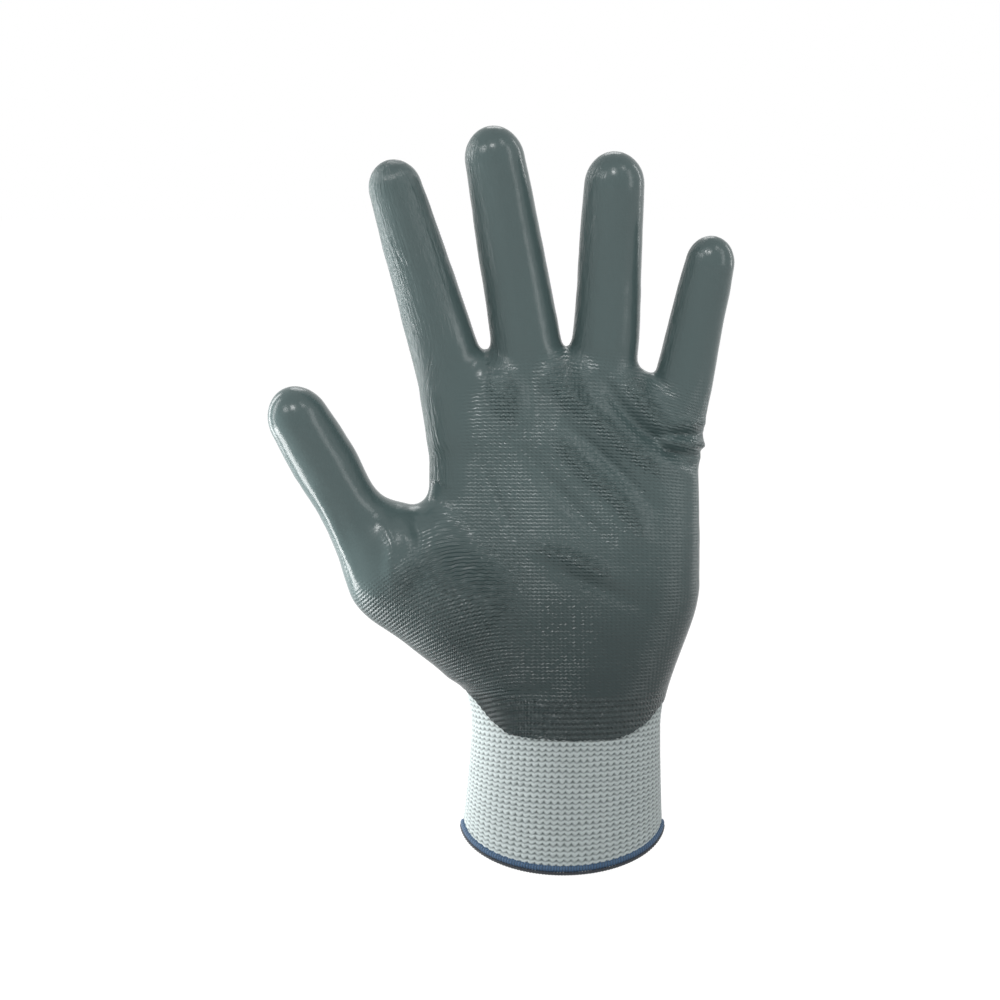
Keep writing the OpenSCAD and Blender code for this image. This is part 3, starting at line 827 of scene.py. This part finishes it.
def filmLooks():
    # for each point, how deep the ribs are, how crinkled the film is, and how pale its colour is, with
    # painted light and shade in it
    x, z = points[:, 0], points[:, 2]
    onThumb = owner == order.index("thumb")
    smoothFrom = np.interp(x, look["smoothX"], look["smoothFinger"])
    smoothFrom = np.where(onThumb, look["smoothThumb"], smoothFrom)
    onStall = rise(local[:, 1], -smoothFrom, look["smoothOver"])
    onSide = rise(-x, -look["sideX"], look["sideOver"]) * rise(z, look["sideZ"], look["sideRise"]) * ~onThumb
    onBall = rise(-x, -look["ballX"], look["ballOver"]) * rise(-z, -look["ballZ"], look["ballRise"])
    pulled = np.maximum(onBall, rise(depth, look["foldFrom"], look["foldOver"]))
    atHeel = rise(-z, -look["heelZ"], look["heelOver"])
    ribs = 1 - (1 - look["smoothRibs"]) * np.maximum(onStall, onSide)
    ribs = ribs * mix(look["flatRibs"], 1, pulled) * mix(1, look["heelRibs"], atHeel)
    toneAndPaintedLight = look["darkest"] + look["paler"] * rise(z, look["paleZ"], look["paleOver"])
    # painted light: the thumb and the palm's side are paler, standing in for their sheen
    toneAndPaintedLight = toneAndPaintedLight + (look["stallPale"] + look["thumbPaintedLight"] * onThumb) * onStall + look["sidePaintedSheen"] * onSide
    # painted shade: the colour is darker low towards the heel
    toneAndPaintedLight = toneAndPaintedLight * mix(look["heelPaintedShade"], 1, rise(z, look["heelPaintedShadeZ"], look["heelPaintedShadeOver"]))
    crinkle = onStall * rise(-local[:, 2], look["crinkleFrom"], look["crinkleOver"]) * ~onThumb
    crinkle = np.maximum(crinkle, onSide * rise(-x, -look["crinkleX"], look["crinkleReach"]))
    return {"ribs": ribs, "crinkle": np.clip(crinkle, 0, 1), "toneAndPaintedLight": toneAndPaintedLight}


attributes = filmLooks()
nitrile = nitrileFilm()
nylon = nylonKnit()

taper = film["thick"] * film["edgeThin"] * (1 - ease(side / film["edgeTaper"]))
filmOuter = surface - normal * taper[:, None]
filmInner = surface - normal * film["thick"]
linerOuter = surface - normal * film["under"]
linerInner = points - base * (film["under"] + film["linerThick"] - film["insideFold"] * depth)[:, None]


def makePair(name, inside):
    # the coating and the knit of the triangles inside
    filmTris, linerTris = tris[inside & inFilm], tris[inside & inLiner]
    coating = shell(f"{name}_coating", filmOuter, filmInner, normal, filmTris, nitrile, uv, attributes)
    knitted = shell(f"{name}_knit", linerOuter, linerInner, normal, linerTris, nylon, uv)
    return coating, knitted


coating, knitted = makePair("palm", part < 0)
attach(coating, "palm")
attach(knitted, "palm")
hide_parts("palm_film")
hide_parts("palm_liner")

for n, name in enumerate(order):
    d = digits[name]
    for k, (s, knuckle) in enumerate(zip(d["stretches"], d["knuckles"])):
        coating, knitted = makePair(f"{name}_{s}", part == n * 4 + k)
        for piece in (coating, knitted):
            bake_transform(piece)
        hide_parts(f"{name}_{s}_film")
        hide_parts(f"{name}_{s}_liner", f"{name}_{knuckle}_fold")
print("coating and liner made")

# Cuff

cuff = {
    "wales": 72, "course": 1.78, "foot": 2.2, "top": 61.0, "across": 6, "up": 6,
    "relief": 0.5, "thick": 1.0, "lining": 12, "liningHeight": 0.7, "topFade": 1.5,
    # shares of a stitch
    "climb": 0.34, "yarn": 0.86, "holeTall": 0.28, "holeWide": 0.42, "holeDeep": 0.9,
    "gap": 0.4, "jogRow": 0.1, "jog": 0.08, "uneven": 0.12,
    "sideSoft": 0.12,  # how softly the hem's dip turns at the glove's sides
}


def cuffRing(z, turn, inset):
    # a point of the hand's section at height z; turn runs 0 to 1 by length round the section
    a = np.linspace(0, 2 * np.pi, 721) - np.pi / 2
    x, y = hand["wristWidth"] / 2 * np.cos(a), hand["wristDepth"] / 2 * np.sin(a)
    run = np.concatenate([[0], np.cumsum(np.hypot(np.diff(x), np.diff(y)))])
    angle = np.interp(turn * run[-1], run, a)
    e = squareness(z)
    c, s = np.cos(angle), np.sin(angle)
    w, t = halfWidth(z) - inset, halfDepth(z) - inset
    px = np.sign(c) * np.abs(c) ** e
    py = np.sign(s) * np.abs(s) ** e
    # the hem is highest at the sides and dips to the front and the back; toFront runs 0 to 1 between them
    soft = cuff["sideSoft"]
    toFront = (np.hypot(s, soft) - soft) / (math.hypot(1, soft) - soft)
    lift = hand["hemDip"] * (1 - toFront) * np.maximum(1 - z / hand["cuffHeight"], 0) ** 1.5
    upPalm = np.maximum(0, (z - hand["cuffHeight"]) / hand["palmHeight"])
    fromArch = np.minimum(1, np.abs(w * px - hand["archX"]) / hand["archReach"])
    lift = lift - hand["archDrop"] * fromArch ** 3 * upPalm ** 2
    return np.stack([handX(z) + w * px, t * py, z + lift], -1)


def stockinette(u, v):
    # height of the stitches, 0 to 1: each course is a rounded yarn that climbs and falls once a wale,
    # with a hole under each peak where the next stitch pulls it apart
    jog = cuff["jogRow"] * np.sin(u * 0.7 + 5 * np.floor(v)) * np.sin(v * 2.3)
    jog = jog + cuff["jog"] * waves(u, v, 21, 6, 0.8)
    peak = np.abs(2 * (u - np.floor(u)) - 1)
    w = v - cuff["climb"] * peak + jog
    w = w - np.floor(w)
    yarn = np.sin(np.pi * np.clip(w / cuff["yarn"], 0, 1)) ** 0.8
    hole = bump((w - 0.02) / cuff["holeTall"]) + bump((w - 1.02) / cuff["holeTall"])
    hole = hole * bump((peak - 1) / cuff["holeWide"])
    height = mix(cuff["gap"], 1, yarn) * (1 - cuff["holeDeep"] * hole)
    return np.clip(height * (1 + cuff["uneven"] * waves(u, v, 22, 8, 2.2)), 0, 1)


def gridFaces(rows, columns):
    # the four-sided faces of a grid whose last column joins its first
    i, j = np.meshgrid(np.arange(rows - 1) * columns, np.arange(columns), indexing="ij")
    k = (j + 1) % columns
    return np.stack([i + j, i + k, i + columns + k, i + columns + j], -1).reshape(-1, 4)


def makeCuff():
    # a closed tube: the stitched outside from the foot up, then the plain lining back down
    rows = int(round((cuff["top"] - cuff["foot"]) / cuff["course"]))
    around, up, lining = cuff["wales"] * cuff["across"], rows * cuff["up"] + 1, cuff["lining"]
    turn, z = np.meshgrid(np.arange(around) / around, np.linspace(cuff["foot"], cuff["top"], up))
    u, v = turn * cuff["wales"], (z - cuff["foot"]) / cuff["course"]
    high = stockinette(u, v)
    level = ease((cuff["top"] - z) / cuff["topFade"])
    outer = cuffRing(z, turn, film["under"] + cuff["relief"] * (1 - high * level))
    turnIn, zIn = np.meshgrid(turn[0], np.linspace(cuff["top"], cuff["foot"], lining))
    inner = cuffRing(zIn, turnIn, film["under"] + cuff["thick"])
    made = np.concatenate([outer.reshape(-1, 3), inner.reshape(-1, 3)])
    faces = gridFaces(up + lining + 1, around) % len(made)
    height = np.concatenate([high.ravel(), np.full(turnIn.size, cuff["liningHeight"])])
    return made, faces, height


def stockinetteNylon():
    # The cuff's nylon and elastic knit: matt white textured yarn in wide zigzag courses, with grey painted
    # shade in the holes.
    material, tree, shader = newMaterial("whiteStockinetteNylon")
    high = node(tree, "Attribute", {"attribute_name": "height"}).outputs["Fac"]
    spot = node(tree, "TexCoord").outputs["Object"]
    fibre = node(tree, "TexNoise", None, {"Vector": spot, "Scale": 1500.0, "Detail": 3.0})
    # painted shade: the lower the stitches' height, the darker the colour, so the holes and gaps are grey
    level = node(tree, "MapRange", None, {0: high, 1: 0.05, 2: 0.85})
    lift = stackBumps(tree, ((fibre, 0.6, 0.0005),))
    dress(tree, shader, {"Normal": lift}, {"Roughness": 0.8, "Sheen Weight": 0.2},
          (level, "535F5E", "C9D3D3"))
    return material


cuffPoints, cuffFaces, cuffHeight = makeCuff()
# its height attribute also sets the painted shade in the holes
cuffPiece = makeMesh("cuff_stockinette", cuffPoints, cuffFaces, stockinetteNylon(),
                     attributes={"height": cuffHeight})
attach(cuffPiece, "palm")
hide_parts("cuff_knit")
print("cuff made:", len(cuffFaces), "faces")

# Hem and elastic

hem = {
    "steps": 1480, "sides": 18, "length": 190.0, "pitch": 1.0, "slant": 0.35,
    "inset": 0.85, "wide": 1.15, "tall": 1.15, "height": 1.75, "bulge": 0.3, "edge": 0.8,
}
looper = {"steps": 1700, "sides": 8, "turns": 170, "inset": 0.25, "height": 0.3, "radius": 0.55, "twist": 0.1}
elastic = {"rings": 7, "first": 6.0, "pitch": 6.4, "inset": 1.9, "radius": 0.4, "steps": 300, "sides": 8}


def tube(path, radius, sides):
    # a closed tube round a closed path: a ring is the path's point plus radius times cos and sin of the turn
    tangent = unit(np.roll(path, -1, axis=0) - np.roll(path, 1, axis=0))
    across = unit(np.cross(tangent, np.array([0.0, 0.0, 1.0])))
    lift = np.cross(across, tangent)
    turn = np.linspace(0, 2 * np.pi, sides, endpoint=False)
    out = across[:, None] * np.cos(turn)[:, None] + lift[:, None] * np.sin(turn)[:, None]
    ring = path[:, None] + out * radius[..., None]
    faces = gridFaces(len(path) + 1, sides) % (len(path) * sides)
    return ring.reshape(-1, 3), faces[:, ::-1]


def edgePath(height, inset, count):
    # a ring round the cuff at one height
    return cuffRing(np.full(count, height), np.arange(count) / count, np.full(count, inset))


def threadMaterial(name, dark, light, gap=None):
    # Spun or textured yarn: a matt body with a soft sheen and fine fibres; gap is a dark colour painted
    # between the wraps as shade.
    material, tree, shader = newMaterial(name)
    spot = node(tree, "TexCoord").outputs["Object"]
    fibre = node(tree, "TexNoise", None, {"Vector": spot, "Scale": 1800.0, "Detail": 3.0})
    lift = stackBumps(tree, ((fibre, 0.5, 0.0004),))
    dress(tree, shader, {"Normal": lift}, {"Roughness": 0.6, "Sheen Weight": 0.2}, (fibre, dark, light))
    if gap:
        plain = shader.inputs["Base Color"].links[0].from_socket
        # painted shade: where the wraps part, the colour falls to the gap's dark colour
        wrap = node(tree, "Attribute", {"attribute_name": "height"}).outputs["Fac"]
        wrapped = node(tree, "Mix", {"data_type": "RGBA"}, {0: wrap, 6: linear(gap), 7: plain})
        tree.links.new(wrapped.outputs[2], shader.inputs["Base Color"])
    return material


def makeHem():
    # the overlock: a band folded round the knit's edge, whose oval section swells once a wrap of thread
    steps, sides = hem["steps"], hem["sides"]
    turn, side = np.meshgrid(np.arange(steps) / steps, np.arange(sides) / sides * 2 * np.pi, indexing="ij")
    wrap = turn * hem["length"] / hem["pitch"] + hem["slant"] * np.cos(side)
    share = wrap - np.floor(wrap) - 0.5
    swell = np.sqrt(np.clip(1 - (2 * share) ** 2, 0, 1))
    grow = hem["bulge"] * (swell - 1)
    inset = hem["inset"] - np.cos(side) * (hem["wide"] + grow)
    height = hem["height"] + np.sin(side) * (hem["tall"] + grow)
    spot = cuffRing(np.maximum(height, 0), turn, inset)
    spot[..., 2] = cuffRing(np.full_like(height, hem["edge"]), turn, inset)[..., 2] - hem["edge"] + height
    return spot.reshape(-1, 3), gridFaces(steps + 1, sides) % (steps * sides), swell.ravel()


def makeLooper():
    # a two-ply thread: a round section whose two bulges turn as it runs along the hem
    path = edgePath(0.0, looper["inset"], looper["steps"])
    path[:, 2] += looper["height"]
    turn = np.linspace(0, 2 * np.pi, looper["sides"], endpoint=False)
    along = np.arange(looper["steps"]) / looper["steps"] * np.pi * looper["turns"]
    radius = looper["radius"] + looper["twist"] * np.cos(2 * (turn[None, :] - along[:, None]))
    return tube(path, radius, looper["sides"])


def makeElastic():
    # rings of covered yarn laid inside the cuff
    rings = []
    radius = np.full((elastic["steps"], elastic["sides"]), elastic["radius"])
    for n in range(elastic["rings"]):
        path = edgePath(elastic["first"] + n * elastic["pitch"], elastic["inset"], elastic["steps"])
        rings.append(tube(path, radius, elastic["sides"]))
    spots = np.concatenate([ring[0] for ring in rings])
    return spots, np.concatenate([ring[1] + n * len(ring[0]) for n, ring in enumerate(rings)])


blue = threadMaterial("bluePolyesterThread", "29496A", "44688A", "0E1A28")
black = threadMaterial("nearBlackPolyesterThread", "10151C", "1F2833")
covered = threadMaterial("coveredElasticYarn", "C9CECD", "E4E7E6")
spots, faces, wraps = makeHem()
# the wraps' swell, as height, sets the painted shade between them
hemPiece = makeMesh("hem_overlock_thread", spots, faces, blue, attributes={"height": wraps})
looperPiece = makeMesh("hem_looper_thread", *makeLooper(), black)
elasticPiece = makeMesh("cuff_elastic_yarns", *makeElastic(), covered)
for piece, replaced, slot in ((hemPiece, "hem_overlock", "overlock_thread"),
                              (looperPiece, "hem_looper", "looper_thread"),
                              (elasticPiece, "cuff_elastic", "elastic_yarn")):
    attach(piece, "palm")
    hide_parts(replaced)
print("hem and elastic made")

# Floor, camera and light

studio = {
    "distance": 1400, "elevation": 8, "focus": (-21.2, 0, 123.6), "lens": 149.7,
    "floorHalf": 3, "floorDrop": 0.0006, "floorGlow": 1.25, "glowShare": 0.8,
    "worldLight": 0.08,
}
# each lamp: place, what it points at, size (metres) and power (watts)
handMiddle = (0, 0, 0.17)
lamps = {
    "leftStrip": ((-0.31, -0.01, 0.2), (-0.04, -0.01, 0.2), (0.05, 0.39), 0.45),
    "leftRim": ((-0.27, 0.13, 0.2), (-0.04, 0, 0.2), (0.06, 0.39), 0.5),
    "thumbStrip": ((-0.221, -0.01, 0.045), (-0.085, -0.01, 0.147), (0.07, 0.105), 0.3),
    "rightStrip": ((0.87, -0.50, 0.42), handMiddle, (0.25, 0.84), 2.0),
    "rightRim": ((0.90, 0.42, 0.42), handMiddle, (0.10, 0.84), 2.0),
    "topSoft": ((-0.1, -0.86, 0.8), handMiddle, (0.2, 0.2), 2.9),
    "backTop": ((0, 0.7, 0.88), handMiddle, (0.4, 0.4), 1.7),
    "leftFront": ((-0.52, -0.66, 0.56), handMiddle, (0.2, 0.2), 1.4),
    "rightFront": ((0.45, -0.50, 0.88), handMiddle, (0.2, 0.2), 0.7),
}


def seenDirectly(tree):
    # 1 where the camera, a reflection or a see-through ray looks, so that they meet plain white
    path = node(tree, "LightPath")
    either = node(tree, "Math", {"operation": "MAXIMUM"},
                  {0: path.outputs["Is Glossy Ray"], 1: path.outputs["Is Transmission Ray"]})
    return node(tree, "Math", {"operation": "MAXIMUM"},
                {0: path.outputs["Is Camera Ray"], 1: either})


def makeFloor():
    # seen directly, the floor is mostly white glow, with a share of its own lit colour that keeps the shadow
    mesh = bpy.data.meshes.new("floor")
    h = studio["floorHalf"]
    mesh.from_pydata([(-h, -h, 0), (h, -h, 0), (h, h, 0), (-h, h, 0)], [], [(0, 1, 2, 3)])
    made = bpy.data.objects.new("floor", mesh)
    bpy.context.scene.collection.objects.link(made)
    material, tree, shader = newMaterial("plainPaleFloor")
    dress(tree, shader, {}, {"Base Color": linear("DADADA"), "Roughness": 0.9, "Specular IOR Level": 0})
    glow = node(tree, "Emission", None, {"Color": (1, 1, 1, 1), "Strength": studio["floorGlow"]})
    share = node(tree, "Math", {"operation": "MULTIPLY"},
                 {0: seenDirectly(tree), 1: studio["glowShare"]})
    both = node(tree, "MixShader", None, {0: share, 1: shader.outputs[0], 2: glow})
    tree.links.new(both.outputs[0], tree.nodes["Material Output"].inputs["Surface"])
    mesh.materials.append(material)
    made.location = (0, 0, -studio["floorDrop"])


def makeLamp(name, spot, target, size, power):
    lamp = bpy.data.lights.new(name, "AREA")
    lamp.shape = "RECTANGLE"
    lamp.size, lamp.size_y = size
    lamp.energy = power
    made = bpy.data.objects.new(name, lamp)
    bpy.context.scene.collection.objects.link(made)
    made.location = spot
    made.visible_camera = False
    made.rotation_euler = (Vector(target) - Vector(spot)).to_track_quat("-Z", "Y").to_euler()


def makeCamera():
    camera = bpy.data.cameras.new("camera")
    camera.lens = studio["lens"]
    camera.clip_end = 10
    made = bpy.data.objects.new("camera", camera)
    bpy.context.scene.collection.objects.link(made)
    e = math.radians(studio["elevation"])
    focus = np.array(studio["focus"]) * metre
    back = np.array([0, -math.cos(e), math.sin(e)]) * studio["distance"] * metre
    made.location = focus + back
    made.rotation_euler = Vector(-back).to_track_quat("-Z", "Y").to_euler()
    bpy.context.scene.camera = made


makeFloor()
makeCamera()
for name, values in lamps.items():
    makeLamp(name, *values)

world = bpy.data.worlds.new("world")
bpy.context.scene.world = world
world.use_nodes = True
tree = world.node_tree
strength = node(tree, "Mix", {"data_type": "FLOAT"},
                {0: seenDirectly(tree), 2: studio["worldLight"], 3: 1.0})
tree.links.new(strength.outputs[0], tree.nodes["Background"].inputs["Strength"])
tree.nodes["Background"].inputs["Color"].default_value = (1, 1, 1, 1)
bpy.context.scene.view_settings.view_transform = "Standard"
print("studio made")
